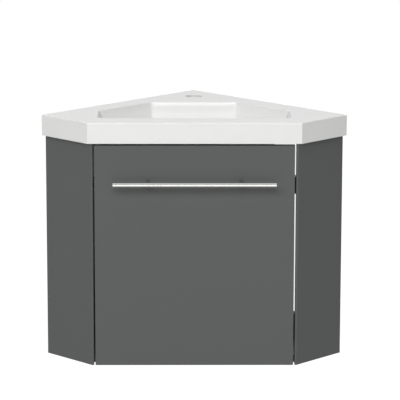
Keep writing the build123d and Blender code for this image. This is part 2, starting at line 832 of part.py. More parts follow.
# Mounting plates: wings on the side panel, and a rail inside the arm's channel
plate_near = plate_mid - plate_width / 2
plate_far = plate_mid + plate_width / 2
with BuildPart() as plates:
    for z in hinge_heights:
        with BuildSketch(Plane.XY.offset(z - plate_half_height)):
            Polygon(*wall_slab(-1, inner_leg - plate_base, inner_leg, plate_near, plate_far))
        extrude(amount=2 * plate_half_height)
        rail_half = arm_half - arm_cheek - knuckle_play
        with BuildSketch(Plane.XY.offset(z - rail_half)):
            Polygon(*wall_slab(-1, web_far, inner_leg, arm_rear + rail_inset, arm_front - rail_inset))
        extrude(amount=2 * rail_half)
    drill(
        [along_wall(-1, web_far, plate_mid, z, -1) for z in hinge_heights],
        arm_screw_d + 2 * glide,
        arm_screw_grip + seat,
    )
    drill(
        [along_wall(-1, inner_leg - plate_base, plate_mid, z, -1) for z in plate_screw_heights],
        plate_screw_d + 2 * glide,
        plate_base,
    )
plates.part.label = "hinge_mounting_plates"
export_step(plates.part, "parts/hinge_mounting_plates.step")

with BuildPart() as plate_screws:
    panheads(
        [along_wall(-1, inner_leg - plate_base, plate_mid, z, -1) for z in plate_screw_heights],
        plate_screw_d,
        plate_base + plate_screw_length,
    )
plate_screws.part.label = "hinge_plate_screws"
export_step(plate_screws.part, "parts/hinge_plate_screws.step")

with BuildPart() as arm_screws:
    panheads(
        [along_wall(-1, web_near, plate_mid, z, -1) for z in hinge_heights],
        arm_screw_d,
        arm_sheet + arm_screw_grip,
    )
arm_screws.part.label = "hinge_arm_screws"
export_step(arm_screws.part, "parts/hinge_arm_screws.step")
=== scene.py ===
import json
from math import asin, atan, atan2, cos, pi, radians, sin, sqrt, tan

import bmesh
import bpy
import numpy as np
from bpy.props import FloatProperty, FloatVectorProperty, PointerProperty
from mathutils import Euler, Matrix, Vector

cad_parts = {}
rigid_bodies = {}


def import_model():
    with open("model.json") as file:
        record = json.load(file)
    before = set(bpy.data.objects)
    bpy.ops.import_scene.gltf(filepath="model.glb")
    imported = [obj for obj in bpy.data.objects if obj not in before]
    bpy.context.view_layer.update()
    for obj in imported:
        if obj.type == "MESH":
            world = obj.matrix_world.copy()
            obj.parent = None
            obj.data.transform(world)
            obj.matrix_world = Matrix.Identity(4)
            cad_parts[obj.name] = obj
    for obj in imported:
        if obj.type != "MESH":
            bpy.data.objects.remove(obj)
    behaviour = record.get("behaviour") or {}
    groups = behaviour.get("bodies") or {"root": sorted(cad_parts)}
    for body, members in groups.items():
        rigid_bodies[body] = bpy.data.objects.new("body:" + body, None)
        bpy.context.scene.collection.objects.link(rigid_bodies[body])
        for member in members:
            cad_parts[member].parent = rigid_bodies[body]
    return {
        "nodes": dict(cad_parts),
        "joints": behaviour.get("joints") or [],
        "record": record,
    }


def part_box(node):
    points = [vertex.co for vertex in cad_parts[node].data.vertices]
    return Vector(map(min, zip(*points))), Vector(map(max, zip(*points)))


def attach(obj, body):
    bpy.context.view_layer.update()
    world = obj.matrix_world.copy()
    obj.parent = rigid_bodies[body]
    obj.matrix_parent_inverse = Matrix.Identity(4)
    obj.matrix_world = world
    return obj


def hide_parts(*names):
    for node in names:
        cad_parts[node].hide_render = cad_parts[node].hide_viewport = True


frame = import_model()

bl_info = {
    "name": "Corner Vanity",
    "version": (1, 0, 0),
    "blender": (4, 5, 0),
    "location": "View3D > Sidebar > Vanity",
    "description": "Dresses the corner vanity's construction model with its finished surfaces",
    "category": "Object",
}

MM = 0.001
UP = Vector((0, 0, 1))
# Both walls' directions, under -1 for the left wall and 1 for the right one
ALONG_WALL = {-1: Vector((-1, -1, 0)).normalized(), 1: Vector((1, -1, 0)).normalized()}
OFF_WALL = {-1: Vector((1, -1, 0)).normalized(), 1: Vector((-1, -1, 0)).normalized()}
SMOOTH_UNDER = radians(38)
# Roughness of sawn chipboard
SAWN = 0.9
# Points of a construction part that are nearer than this are one point
SAME_PLACE = 0.001 * MM
# A face whose normal has more than this share along a direction is square to it
SQUARE_ON = 0.9
# Height and inset half way round a rounded edge, as a share of its radius
HALF_ROUND = 0.3
# Lower edge of a side board's band, as a share of the other edges' radius
BAND_ARRIS = 0.75
# Widest edge round of the door's band, as a share of the band's thickness
BAND_ROUND = 0.9

# A pan-head screw, in shares of its shank's radius, its head's radius or its head's height
SCREW_TIP = 0.6
HEAD_UNDERSIDE = 0.96
HEAD_RIM = 0.15
CROWN_FLAT = 0.35
CROWN_TURN = radians(75)
RECESS_LIMIT = 0.92
MOUTH_WIDTH = 0.34
PIT_WIDTH = 0.3
PIT_REACH = 0.6
PIT_DEPTH = 0.7

# A door stop, in shares of its radius or its height
STOP_FOOT = 0.97
STOP_RIM = 0.2
DOME_TURN = radians(80)
DOME_POWER = 0.6

# The floor's fade to white: its strength, and its share of what is seen directly
FADE_STRENGTH = 1.2
FADE_SHARE = 0.82

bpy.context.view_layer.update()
mounts = {mount["name"]: mount for mount in frame["record"]["mounts"]}
basin_low, basin_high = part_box("basin")
side_low, side_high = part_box("side_panel_left")
side_band_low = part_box("side_panel_edge_bands")[0]
board_low, board_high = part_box("bottom_panel")
door_low, door_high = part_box("door_edge_bands")
leaf_low, leaf_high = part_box("door_panel")
rod_low, rod_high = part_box("handle_rod")
DOOR_BODY = frame["joints"][0]["child"]
CABINET_BODY = frame["joints"][0]["parent"]


def linear(hex_colour):
    """Linear RGBA of an sRGB colour written as #RRGGBB."""
    channels = [int(hex_colour[place:place + 2], 16) / 255 for place in (1, 3, 5)]
    levels = [c / 12.92 if c < 0.04045 else ((c + 0.055) / 1.055) ** 2.4 for c in channels]
    return (*levels, 1.0)


def colour_property(name, description, hex_colour):
    return FloatVectorProperty(
        name=name, description=description, subtype="COLOR", size=4, min=0, max=1,
        default=linear(hex_colour),
    )


def length_property(name, description, millimetres):
    return FloatProperty(
        name=name, description=description, unit="LENGTH", min=0, default=millimetres * MM,
    )


def angle_property(name, description, angle):
    return FloatProperty(name=name, description=description, subtype="ANGLE", default=angle)


def share_property(name, description, share):
    return FloatProperty(
        name=name, description=description, subtype="FACTOR", min=0, max=1, default=share,
    )


def power_property(name, description, watts):
    return FloatProperty(name=name, description=description, unit="POWER", min=0, default=watts)


class VanityBasin(bpy.types.PropertyGroup):
    corner_round: length_property("Corner round", "Radius of the basin's upright edges", 1.0)
    rim_round: length_property("Rim round", "Radius of all upper edges", 2.0)
    bowl_wall_margin: length_property("Wall margin", "Deck between a wall and the bowl", 48.5)
    bowl_front_margin: length_property("Front margin", "Deck in front of the bowl", 57.5)
    bowl_back: length_property("Bowl back", "Rear edge of the bowl, out from the corner", 160.0)
    bowl_side_length: length_property("Bowl side", "Short edge at each end of the bowl", 89.4)
    bowl_depth: length_property("Bowl depth", "Floor of the bowl below the rim", 62.0)
    bowl_draw_in: length_property("Draw in", "How far the walls come in down to the floor", 61.7)
    bowl_corner_round: length_property("Bowl corners", "Radius of the bowl's upright corners", 12.0)
    bowl_floor_round: length_property("Floor round", "Radius where the walls meet the floor", 15.0)
    bowl_wall: length_property("Casting", "Thickness of the casting round the bowl", 10.0)
    tap_pocket: length_property("Tap pocket", "Diameter of the pocket for the tap's nut", 62.0)
    tap_deck: length_property("Tap deck", "Thickness of the deck at the tap", 23.5)
    drain_seat: length_property("Drain seat", "Diameter of the step for the waste", 66.0)
    drain_seat_depth: length_property("Seat depth", "Depth of that step", 3.0)
    drain_boss: length_property("Drain boss", "Diameter of the boss under the waste", 74.0)
    bowl_lean: angle_property("Wall lean", "Lean of the bowl's walls at the rim", radians(20))
    diagonal_share: share_property("Diagonal share", "Draw-in of the walls beside the corner", 0.8)
    colour: colour_property("Gel coat", "Colour of the gel coat", "#F2F2F1")


class VanityBoards(bpy.types.PropertyGroup):
    edge_round: length_property("Edge round", "Radius of a banded edge", 0.8)
    tip_round: length_property("Tip round", "Radius of a side board's edge beside the door", 2.6)
    colour: colour_property("Facing", "Colour of the anthracite facing", "#5B5D5C")
    rail_colour: colour_property("Rail facing", "Colour of the hanging rail", "#E6E5E0")
    core_light: colour_property("Light chips", "Lighter wood chips of a raw edge", "#B89C74")
    core_dark: colour_property("Dark chips", "Darker wood chips of a raw edge", "#84673F")


class VanityHandle(bpy.types.PropertyGroup):
    end_round: length_property("End round", "Rounding of the bar's ends", 0.7)
    foot_relief: length_property("Foot relief", "Bevel where a post stands on the door", 0.4)
    colour: colour_property("Steel", "Colour of the ground stainless steel", "#B8B8B6")


class VanityFittings(bpy.types.PropertyGroup):
    press_round: length_property("Pressed edges", "Rounding of the edges of pressed steel", 0.25)
    recess_share: share_property("Recess", "Reach of a screw's recess over its head's", 0.56)
    nickel: colour_property("Nickel", "Colour of the nickel plating", "#C9C4BA")
    zinc: colour_property("Zinc", "Colour of the zinc plating", "#C4C8CC")
    cast_zinc: colour_property("Cast zinc", "Colour of the die-cast cams", "#A9AAAB")
    beech: colour_property("Beech", "Colour of the dowels", "#D2AE82")
    stop: colour_property("Door stops", "Colour of the soft clear stops", "#E9ECEC")


class VanityStage(bpy.types.PropertyGroup):
    camera_place: FloatVectorProperty(
        name="Camera", description="Where the camera stands", subtype="TRANSLATION", unit="LENGTH",
        default=(-0.03737, -5.31026, 1.38853),
    )
    camera_pitch: angle_property("Pitch", "How far the camera looks down", 0.2082)
    camera_yaw: angle_property("Yaw", "How far the camera turns to the right", 0.0099)
    camera_roll: angle_property("Roll", "How far the camera tips to the left", 0.002)
    lens: FloatProperty(name="Lens", description="Focal length", unit="CAMERA", default=218.92)
    rim_over_floor: length_property("Hanging height", "Height of the rim over the floor", 850.0)
    key_power: power_property("Front lamp", "Power of the large front lamp", 231.0)
    low_power: power_property("Low lamp", "Power of the long low lamp", 14.0)
    strip_power: power_property("Strip lamp", "Power of the strip that the handle mirrors", 14.0)
    top_power: power_property("Top lamp", "Power of the lamp overhead", 19.0)
    back_power: power_property("Back lamp", "Power of the lamp behind the walls' place", 31.0)
    ambient: share_property("Room light", "Strength of the even light from all round", 0.05)
    floor_colour: colour_property("Floor", "Colour of the floor", "#F1F1EF")


def add_node(tree, kind, inputs=None, **settings):
    """Adds a node to a tree, with its settings, and fills its inputs with values or links."""
    node = tree.nodes.new(kind)
    for name, value in settings.items():
        setattr(node, name, value)
    for key, value in (inputs or {}).items():
        if isinstance(value, bpy.types.NodeSocket):
            tree.links.new(value, node.inputs[key])
        else:
            node.inputs[key].default_value = value
    return node


def bare_material(name):
    """An empty material. Returns it with its tree and the coordinates of the piece it is on."""
    material = bpy.data.materials.new(name)
    material.use_nodes = True
    tree = material.node_tree
    tree.nodes.clear()
    return material, tree, add_node(tree, "ShaderNodeTexCoord").outputs["Object"]


def new_material(name, shader_inputs):
    """A material with one principled shader. Returns it with its tree, shader and coordinates."""
    material, tree, place = bare_material(name)
    shader = add_node(tree, "ShaderNodeBsdfPrincipled", shader_inputs)
    add_node(tree, "ShaderNodeOutputMaterial", {"Surface": shader.outputs["BSDF"]})
    return material, tree, shader, place


def per_metre(millimetres):
    """Texture scale at which one feature of a pattern is about this many millimetres."""
    return 1 / (millimetres * MM)


def mottle(tree, shader, place, size, detail=2.0, tones=None, gloss=None, relief=None):
    """Lets clouds vary a shader: its colour and roughness between two values, and its relief.

    The clouds have a size in millimetres, and the relief has a strength and a height in them.
    """
    clouds = add_node(tree, "ShaderNodeTexNoise", {
        "Vector": place, "Scale": per_metre(size), "Detail": detail,
    }).outputs["Fac"]
    if tones:
        tone = add_node(tree, "ShaderNodeMix", {
            0: clouds, 6: tones[0], 7: tones[1],
        }, data_type="RGBA")
        tree.links.new(tone.outputs[2], shader.inputs["Base Color"])
    if gloss:
        level = add_node(tree, "ShaderNodeMapRange", {
            "Value": clouds, "To Min": gloss[0], "To Max": gloss[1],
        })
        tree.links.new(level.outputs[0], shader.inputs["Roughness"])
    if relief:
        bump = add_node(tree, "ShaderNodeBump", {
            "Height": clouds, "Strength": relief[0], "Distance": relief[1] * MM,
        })
        tree.links.new(bump.outputs[0], shader.inputs["Normal"])


def shifted(colour, *factors):
    """The colour made darker or lighter by each factor."""
    return [(*(min(1.0, channel * factor) for channel in colour[:3]), 1.0) for factor in factors]


def gel_coated_mineral(colour):
    """Mineral casting with a sprayed gel coat.

    Resin and stone dust shrink a little as they set, so the glossy white coat has a soft,
    slow waviness, and its reflections have no hard edge.
    """
    material, tree, shader, place = new_material("Gel coated mineral casting", {"IOR": 1.5})
    mottle(tree, shader, place, size=150.0, tones=shifted(colour, 0.985, 1.01))
    # The orange peel of a sprayed coat is 2 to 3 mm across, drawn at 7 mm so that it shows
    mottle(tree, shader, place, size=7.0, detail=1.0, gloss=(0.12, 0.16), relief=(0.03, 0.05))
    return material


def chip_colour(tree, place, boards):
    """Colour and height of raw chipboard: pressed wood chips of mixed tones."""
    stretched = add_node(tree, "ShaderNodeMapping", {
        "Vector": place, "Scale": (1.0, 1.0, 2.2),
    })
    chips = add_node(tree, "ShaderNodeTexVoronoi", {
        "Vector": stretched.outputs[0], "Scale": per_metre(3.0),
    })
    tone = add_node(tree, "ShaderNodeSeparateColor", {"Color": chips.outputs["Color"]})
    colour = add_node(tree, "ShaderNodeMix", {
        0: tone.outputs["Red"], 6: boards.core_light, 7: boards.core_dark,
    }, data_type="RGBA")
    return colour.outputs[2], tone.outputs["Red"]


def melamine_board(name, colour, boards, thickness_axis=None):
    """Chipboard faced with melamine.

    The facing is resin-soaked paper pressed against a pearl-textured plate, so it is matt, with
    a fine even relief. Where no band covers an edge, the pressed chips show. thickness_axis is
    square to the faces, and without it the whole board is faced.
    """
    material, tree, shader, place = new_material(name, {"IOR": 1.5, "Specular IOR Level": 0.3})
    clouds = add_node(tree, "ShaderNodeTexNoise", {
        "Vector": place, "Scale": per_metre(220.0), "Detail": 2.0,
    })
    darker, lighter = shifted(colour, 0.985, 1.015)
    tone = add_node(tree, "ShaderNodeMix", {
        0: clouds.outputs["Fac"], 6: darker, 7: lighter,
    }, data_type="RGBA")
    # The pearls of the press plate are 0.5 mm across, drawn at 2 mm so that they show
    pearls = add_node(tree, "ShaderNodeTexVoronoi", {
        "Vector": place, "Scale": per_metre(2.0),
    }, feature="SMOOTH_F1")
    gloss = add_node(tree, "ShaderNodeMapRange", {
        "Value": pearls.outputs["Distance"], "To Min": 0.5, "To Max": 0.64,
    })
    surface_colour = tone.outputs[2]
    surface_height = pearls.outputs["Distance"]
    surface_gloss = gloss.outputs[0]
    if thickness_axis is not None:
        facing = add_node(tree, "ShaderNodeTexCoord").outputs["Normal"]
        flatness = add_node(tree, "ShaderNodeVectorMath", {
            0: facing, 1: tuple(thickness_axis),
        }, operation="DOT_PRODUCT")
        squared = add_node(tree, "ShaderNodeMath", {
            0: flatness.outputs["Value"], 1: 2.0,
        }, operation="POWER")
        # Raw where the surface is turned over 45 degrees from the board's faces
        raw = add_node(tree, "ShaderNodeMath", {
            0: squared.outputs[0], 1: cos(pi / 4) ** 2,
        }, operation="LESS_THAN")
        core, chips = chip_colour(tree, place, boards)
        surface_colour = add_node(tree, "ShaderNodeMix", {
            0: raw.outputs[0], 6: tone.outputs[2], 7: core,
        }, data_type="RGBA").outputs[2]
        surface_height = add_node(tree, "ShaderNodeMix", {
            0: raw.outputs[0], 2: pearls.outputs["Distance"], 3: chips,
        }).outputs[0]
        surface_gloss = add_node(tree, "ShaderNodeMix", {
            0: raw.outputs[0], 2: gloss.outputs[0], 3: SAWN,
        }).outputs[0]
    relief = add_node(tree, "ShaderNodeBump", {
        "Height": surface_height, "Strength": 0.25, "Distance": 0.08 * MM,
    })
    tree.links.new(surface_colour, shader.inputs["Base Color"])
    tree.links.new(surface_gloss, shader.inputs["Roughness"])
    tree.links.new(relief.outputs[0], shader.inputs["Normal"])
    return material


def raw_chipboard(boards):
    """Sawn edge of chipboard, dry and rough, with chips of mixed tones."""
    material, tree, shader, place = new_material(
        "Raw chipboard edge", {"Roughness": SAWN, "Specular IOR Level": 0.2},
    )
    colour, chips = chip_colour(tree, place, boards)
    relief = add_node(tree, "ShaderNodeBump", {
        "Height": chips, "Strength": 0.5, "Distance": 0.3 * MM,
    })
    tree.links.new(colour, shader.inputs["Base Color"])
    tree.links.new(relief.outputs[0], shader.inputs["Normal"])
    return material


def abs_edge_band(colour):
    """ABS edge band, glued on and scraped flush.

    The scraper leaves faint chatter marks across the band, and the plastic is a touch
    smoother than the facing beside it.
    """
    material, tree, shader, place = new_material(
        "ABS edge band", {"IOR": 1.52, "Specular IOR Level": 0.35},
    )
    # Chatter marks are 1.5 mm apart, drawn 4 mm apart so that they show
    mottle(
        tree, shader, place, size=4.0, detail=1.0, tones=shifted(colour, 0.93, 0.99),
        gloss=(0.4, 0.52), relief=(0.15, 0.05),
    )
    return material


def metal(name, colour, roughness, marks, stretch=(1.0, 1.0, 1.0), spread=0.05):
    """A bare or plated metal, with marks of a size in millimetres, stretched along one axis."""
    material, tree, shader, place = new_material(name, {"Metallic": 1.0})
    drawn = add_node(tree, "ShaderNodeMapping", {"Vector": place, "Scale": stretch})
    mottle(
        tree, shader, drawn.outputs[0], size=marks, detail=3.0,
        tones=shifted(colour, 1 - spread, 1 + spread),
        gloss=(roughness * (1 - 2 * spread), roughness * (1 + 2 * spread)), relief=(0.04, 0.02),
    )
    return material


def ground_stainless_steel(colour):
    """Stainless bar, centreless ground and polished.

    The wheel leaves fine rings round the bar, which spread its long highlight a little.
    The rings are 0.2 mm apart, drawn 1.5 mm apart so that they show.
    """
    return metal(
        "Ground stainless steel", colour, roughness=0.08, marks=1.5, stretch=(1.0, 0.15, 0.15),
        spread=0.03,
    )


def nickel_plated_steel(colour):
    """Pressed steel with bright nickel plating: warm grey, with faint drawing marks of the die."""
    return metal("Nickel plated steel", colour, roughness=0.24, marks=2.5, stretch=(1.0, 1.0, 0.3))


def zinc_plated_steel(colour):
    """Steel with blue-white zinc plating: cool grey, cloudy and less bright than nickel."""
    return metal("Zinc plated steel", colour, roughness=0.34, marks=5.0, spread=0.09)


def die_cast_zinc(colour):
    """Zinc as it comes from the die: dull grey, with flow marks and a frosted skin."""
    return metal("Die-cast zinc", colour, roughness=0.46, marks=3.0, spread=0.12)


def turned_beech(colour):
    """Fluted beech dowel: pale pinkish wood with short dark flecks along the grain."""
    material, tree, shader, place = new_material(
        "Turned beech", {"Roughness": 0.62, "Specular IOR Level": 0.35},
    )
    along = add_node(tree, "ShaderNodeMapping", {"Vector": place, "Scale": (1.0, 1.0, 0.2)})
    mottle(
        tree, shader, along.outputs[0], size=1.5, detail=3.0, tones=shifted(colour, 0.78, 1.1),
        relief=(0.3, 0.1),
    )
    return material


def clear_polyurethane(colour):
    """Soft clear polyurethane: see-through with a tacky, faintly cloudy skin."""
    material, tree, shader, place = new_material(
        "Clear polyurethane", {"IOR": 1.49, "Transmission Weight": 0.75},
    )
    mottle(tree, shader, place, size=2.0, tones=shifted(colour, 0.94, 1.0), gloss=(0.15, 0.35))
    return material


def wall_spot(side, along, out):
    """Point in plan, from a distance along a wall and one out from that wall."""
    return (ALONG_WALL[side] * along + OFF_WALL[side] * out).xy


def turn_steps(angle, steps):
    """Sine and cosine at each step from no turn to a turn through an angle."""
    turns = [angle * step / steps for step in range(steps + 1)]
    return [(sin(turn), cos(turn)) for turn in turns]


def extent(points):
    """Lowest and highest corner of the box round some points."""
    return [Vector([pick(values) for values in zip(*points)]) for pick in (min, max)]


def inset_corners(corners, distance):
    """The corners of a convex outline whose edges have all moved in by a distance."""
    moved = []
    count = len(corners)
    for place, corner in enumerate(corners):
        into = (corner - corners[place - 1]).normalized()
        away = (corners[(place + 1) % count] - corner).normalized()
        turn = 1 if into.x * away.y - into.y * away.x > 0 else -1
        inward = [Vector((-edge.y, edge.x)) * turn for edge in (into, away)]
        moved.append(corner + (inward[0] + inward[1]) * distance / (1 + inward[0].dot(inward[1])))
    return moved


def corner_arc(before, corner, after, radius, steps=5):
    """Arc that rounds one corner of an outline."""
    into = (corner - before).normalized()
    away = (after - corner).normalized()
    turn = atan2(into.x * away.y - into.y * away.x, into.dot(away))
    inward = Vector((-into.y, into.x)) * (1 if turn > 0 else -1)
    start = corner - into * radius * tan(abs(turn) / 2)
    centre = start + inward * radius
    return [
        centre + Matrix.Rotation(turn * step / steps, 2) @ (start - centre)
        for step in range(steps + 1)
    ]


def round_corners(corners, radius, steps=6):
    """The outline with an arc at each corner, always with as many points a corner."""
    points = []
    count = len(corners)
    for place, corner in enumerate(corners):
        after = corners[(place + 1) % count]
        points += corner_arc(corners[place - 1], corner, after, radius, steps)
    return points


def add_ring(bm, points):
    return [bm.verts.new(point) for point in points]


def plan_ring(bm, points, height):
    """Ring on the points of a plan, at a height."""
    return add_ring(bm, [(x, y, height) for x, y in points])


def round_ring(bm, centre, radius, height, steps=48):
    """Level ring round a centre."""
    turns = turn_steps(2 * pi, steps)[:-1]
    points = [(centre[0] + radius * x, centre[1] + radius * y) for y, x in turns]
    return plan_ring(bm, points, height)


def bridge(bm, *rings):
    """Joins rings of as many points, each to the next, with a band of faces."""
    for first, second in zip(rings, rings[1:]):
        for place in range(len(first)):
            bm.faces.new((first[place - 1], first[place], second[place], second[place - 1]))


def cap(bm, *rings):
    """Fills the flat face between closed rings, of which one lies round the others."""
    edges = []
    for ring in rings:
        for first, second in zip(ring, ring[1:] + ring[:1]):
            edges.append(bm.edges.get((first, second)) or bm.edges.new((first, second)))
    bmesh.ops.triangle_fill(bm, use_beauty=True, edges=edges)


def add_modifier(piece, name, kind, **settings):
    modifier = piece.modifiers.new(name, kind)
    for setting, value in settings.items():
        setattr(modifier, setting, value)


def add_object(name, data):
    """Puts a new object with this data in the scene."""
    added = bpy.data.objects.new(name, data)
    bpy.context.scene.collection.objects.link(added)
    return added


def add_mesh(name, bm, materials):
    """Puts a new object with the mesh that was built in the scene."""
    mesh = bpy.data.meshes.new(name)
    bm.to_mesh(mesh)
    bm.free()
    for material in materials:
        mesh.materials.append(material)
    return add_object(name, mesh)


def finish_piece(name, bm, body, materials, nodes=()):
    """Makes a piece of the mesh, shaded smooth over its rounds, that rides a body."""
    bmesh.ops.recalc_face_normals(bm, faces=bm.faces)
    piece = add_mesh(name, bm, materials)
    piece.data.shade_smooth()
    piece.data.set_sharp_from_angle(angle=SMOOTH_UNDER)
    add_modifier(piece, "Even shading", "WEIGHTED_NORMAL", keep_sharp=True)
    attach(piece, body)
    if nodes:
        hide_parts(*nodes)


def dress(node, material, edge_round=0.0):
    """Gives a construction part its material, and softens its edges where it is pressed or cast."""
    part = frame["nodes"][node]
    part.data.materials.clear()
    part.data.materials.append(material)
    if edge_round:
        add_modifier(part, "Join faces", "WELD", merge_threshold=SAME_PLACE)
        add_modifier(
            part, "Soft edges", "BEVEL", width=edge_round, segments=2, limit_method="ANGLE",
            angle_limit=SMOOTH_UNDER, use_clamp_overlap=True,
        )
        add_modifier(part, "Even shading", "WEIGHTED_NORMAL", keep_sharp=True)


def bowl_sections(sizes, rim_steps=6, wall_steps=16, floor_steps=5):
    """How far in and down the bowl's walls run, as (inset, depth) from the rim to the floor."""
    lean = sizes.bowl_lean
    end_lean = 2 * atan(sizes.bowl_draw_in / sizes.bowl_depth) - lean
    sweep = sizes.bowl_depth / (sin(end_lean) - sin(lean))
    rim = sizes.rim_round
    floor = sizes.bowl_floor_round
    reach = rim * tan((pi / 2 - lean) / 2)
    sections = [
        (rim * sine - reach, rim * (1 - cosine))
        for sine, cosine in turn_steps(pi / 2 - lean, rim_steps)
    ]
    wall_start = asin(sections[-1][1] / sweep + sin(lean))
    wall_end = asin((sizes.bowl_depth + sweep * sin(lean) - floor) / (sweep - floor))
    for step in range(1, wall_steps + 1):
        angle = wall_start + (wall_end - wall_start) * step / wall_steps
        sections.append((sweep * (cos(lean) - cos(angle)), sweep * (sin(angle) - sin(lean))))
    floor_inset, floor_depth = sections[-1]
    for step in range(1, floor_steps + 1):
        angle = wall_end + (pi / 2 - wall_end) * step / floor_steps
        sections.append((
            floor_inset + floor * (cos(wall_end) - cos(angle)),
            floor_depth + floor * (sin(angle) - sin(wall_end)),
        ))
    return sections


def inset_at(sections, depth):
    """The bowl's inset at a depth, between the two sections nearest to it."""
    insets, depths = zip(*sections)
    return float(np.interp(depth, depths, insets))


def bowl_outline(sizes, front, inset, casting=0.0):
    """Plan of the bowl at an inset from its rim, or of the casting round it."""
    diagonal_inset = sizes.diagonal_share * inset if inset > 0 else inset
    side_length = sizes.bowl_side_length - sqrt(2) * (diagonal_inset - casting)
    # The arcs at both ends of the short side would meet at a radius of 0.707 of its length
    radius = min(sizes.bowl_corner_round - min(inset, 0), 0.65 * side_length)
    inset -= casting
    diagonal_inset -= casting
    reach = sqrt(2) * (sizes.bowl_wall_margin + diagonal_inset)
    half = -front - sizes.bowl_side_length - sqrt(2) * sizes.bowl_wall_margin - inset
    back = -sizes.bowl_back - inset
    shoulder = -half - reach
    corners = [
        Vector((-back - reach, back)),
        Vector((back + reach, back)),
        Vector((-half, shoulder)),
        Vector((-half, front + inset)),
        Vector((half, front + inset)),
        Vector((half, shoulder)),
    ]
    return round_corners(corners, radius, steps=8)


class VANITY_OT_basin(bpy.types.Operator):
    """Cast basin: deck, bowl, tap hole with its pocket, and waste hole with its boss"""

    bl_idname = "vanity.basin"
    bl_label = "Basin"

    def execute(self, context):
        sizes = context.scene.vanity_basin
        rim = basin_high.z
        underside = side_high.z
        leg = sqrt(2) * (basin_high.x + (sqrt(2) - 1) * sizes.corner_round)
        side = -sqrt(2) * basin_low.y - leg
        outline = [
            Vector((0, 0)),
            wall_spot(-1, leg, 0),
            wall_spot(-1, leg, side),
            wall_spot(1, leg, side),
            wall_spot(1, leg, 0),
        ]
        bm = bmesh.new()
        outer = [plan_ring(bm, round_corners(outline, sizes.corner_round), underside)]
        for sine, cosine in turn_steps(pi / 2, 5):
            corners = inset_corners(outline, sizes.rim_round * (1 - cosine))
            height = rim - sizes.rim_round * (1 - sine)
            outer.append(plan_ring(bm, round_corners(corners, sizes.corner_round), height))
        bridge(bm, *outer)

        front = basin_low.y + sizes.bowl_front_margin
        sections = bowl_sections(sizes)
        bowl = [
            plan_ring(bm, bowl_outline(sizes, front, inset), rim - depth)
            for inset, depth in sections
        ]
        bridge(bm, *bowl)

        tap = mounts["tap_hole"]["pos_m"]
        tap_radius = mounts["tap_hole"]["dims"]["r_mm"] * MM
        ceiling = rim - sizes.tap_deck
        tap_hole = []
        for sine, cosine in turn_steps(pi / 2, 5):
            radius = tap_radius + sizes.rim_round * (1 - sine)
            tap_hole.append(round_ring(bm, tap, radius, rim - sizes.rim_round * (1 - cosine)))
        tap_hole.append(round_ring(bm, tap, tap_radius, ceiling))
        bridge(bm, *tap_hole)
        pocket_top = round_ring(bm, tap, sizes.tap_pocket / 2, ceiling)
        pocket_foot = round_ring(bm, tap, sizes.tap_pocket / 2, underside)
        bridge(bm, pocket_top, pocket_foot)
        cap(bm, pocket_top, tap_hole[-1])
        cap(bm, outer[-1], bowl[0], tap_hole[0])

        drain = mounts["drain_hole"]["pos_m"]
        drain_radius = mounts["drain_hole"]["dims"]["r_mm"] * MM
        floor = rim - sizes.bowl_depth
        seat_floor = floor - sizes.drain_seat_depth
        seat_edge, seat_foot, hole_top, hole_foot, boss_edge, boss_top = [
            round_ring(bm, drain, radius, height)
            for radius, height in (
                (sizes.drain_seat / 2, floor),
                (sizes.drain_seat / 2, seat_floor),
                (drain_radius, seat_floor),
                (drain_radius, basin_low.z),
                (sizes.drain_boss / 2, basin_low.z),
                (sizes.drain_boss / 2, floor - sizes.bowl_wall),
            )
        ]
        cap(bm, bowl[-1], seat_edge)
        bridge(bm, seat_edge, seat_foot)
        cap(bm, seat_foot, hole_top)
        bridge(bm, hole_top, hole_foot)
        cap(bm, boss_edge, hole_foot)
        bridge(bm, boss_edge, boss_top)

        levels = [(inset, rim - depth - sizes.bowl_wall) for inset, depth in reversed(sections)]
        levels = [(inset, height) for inset, height in levels if height < underside]
        levels.append((inset_at(sections, rim - underside - sizes.bowl_wall), underside))
        casting = [
            plan_ring(bm, bowl_outline(sizes, front, inset, sizes.bowl_wall), height)
            for inset, height in levels
        ]
        bridge(bm, *casting)
        cap(bm, casting[0], boss_top)
        cap(bm, outer[0], casting[-1], pocket_foot)
        material = gel_coated_mineral(sizes.colour)
        finish_piece("cast_basin", bm, CABINET_BODY, [material], ["basin"])
        return {"FINISHED"}


def prism(bm, outline, *levels):
    """Upright block on a plan, from the (height, inset) of each level."""
    rings = [plan_ring(bm, inset_corners(outline, inset), height) for height, inset in levels]
    bridge(bm, *rings)
    cap(bm, rings[0])
    cap(bm, rings[-1])


def side_board_outline(side, boards):
    """Plan of a side board, with its banded tip rounded where it meets the door's gap."""
    front = door_low.y
    outer = -sqrt(2) * side_low.x
    inner = outer - (board_high.z - board_low.z)
    part = frame["nodes"]["side_panel_left"].data
    front_zone = front + 0.01 * MM
    at_front = [vertex.co.x for vertex in part.vertices if vertex.co.y < front_zone]
    tip = Vector((min(at_front), front))
    relief = Vector((max(at_front), front))
    outline = [wall_spot(-1, outer, 0)]
    outline += corner_arc(outline[0], tip, relief, boards.edge_round)
    back = wall_spot(-1, inner, inner + sqrt(2) * max(at_front))
    outline += corner_arc(tip, relief, back, boards.tip_round)
    outline += [back, wall_spot(-1, inner, 0)]
    return [Vector((-side * x, y)) for x, y in outline]


